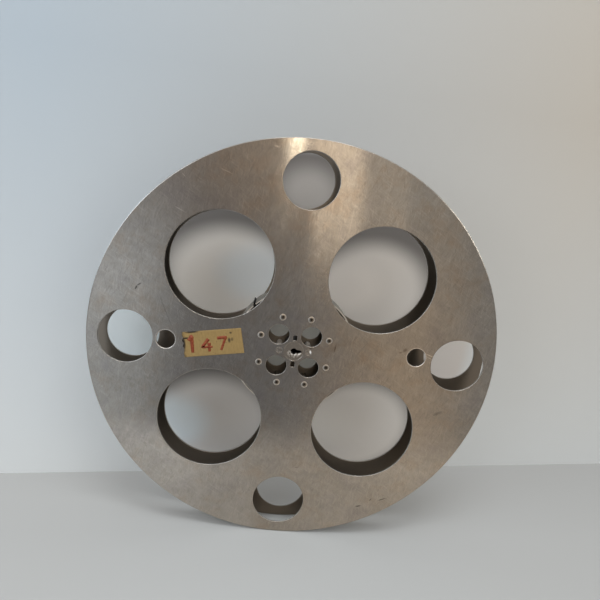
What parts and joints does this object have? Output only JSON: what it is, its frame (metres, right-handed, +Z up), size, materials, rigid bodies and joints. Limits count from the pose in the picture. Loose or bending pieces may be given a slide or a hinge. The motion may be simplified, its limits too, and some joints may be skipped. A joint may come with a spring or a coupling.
{
  "type": "cine film reel",
  "caption": "Large cine film reel: pierced flat flanges on a hollow drum with a keyed spindle bore, a film slot and a sprung clip that holds the film's end.",
  "frame": {"origin": "the middle of the spindle bore, half-way between the flanges", "axes": "+Y along the reel's axis from the front flange to the rear, +Z up, +X to the right as the front is seen"},
  "size_m": [0.5999, 0.044, 0.6],
  "materials": {
    "front_flange_aluminium": "satin, scratched sheet",
    "rear_flange_aluminium": "satin, scratched sheet",
    "drum_aluminium": "rolled strip",
    "bush_steel": "turned, worn bright at the mouth",
    "sleeve_steel": "drawn tube",
    "tie_aluminium": "turned, hammered ends",
    "pillar_steel": "turned",
    "plated_screw": "bright plated",
    "bracket_steel": "pressed sheet",
    "rivet_aluminium": "plain",
    "pin_steel": "ground",
    "blackened_steel": "blackened",
    "spring_steel": "drawn wire",
    "tape_paper": "aged crepe paper tape"
  },
  "bodies": {
    "reel": {"front_flange": "front_flange_aluminium", "rear_flange": "rear_flange_aluminium", "core_drum": "drum_aluminium", "front_bush": "bush_steel", "rear_bush": "bush_steel", "spindle_sleeve": "sleeve_steel", "tie_post_left": "tie_aluminium", "tie_post_right": "tie_aluminium", "pillar_1": "pillar_steel", "pillar_2": "pillar_steel", "pillar_3": "pillar_steel", "pillar_4": "pillar_steel", "pillar_5": "pillar_steel", "pillar_6": "pillar_steel", "pillar_7": "pillar_steel", "pillar_8": "pillar_steel", "front_screws": "plated_screw", "rear_screws": "plated_screw", "clip_bracket": "bracket_steel", "clip_rivets": "rivet_aluminium", "clip_pin": "pin_steel", "clip_spring": "spring_steel", "tape_label": "tape_paper"},
    "clip": {"film_clip": "blackened_steel"}
  },
  "joints": [
    {"name": "clip_hinge", "type": "hinge", "parent": "reel", "child": "clip", "pos_m": [-0.06293, 0, 0.05162], "axis": [0, -1, 0], "range_deg": [0, 10], "stiffness_Nm_per_rad": 0.05, "springref_deg": -11.46}
  ]
}
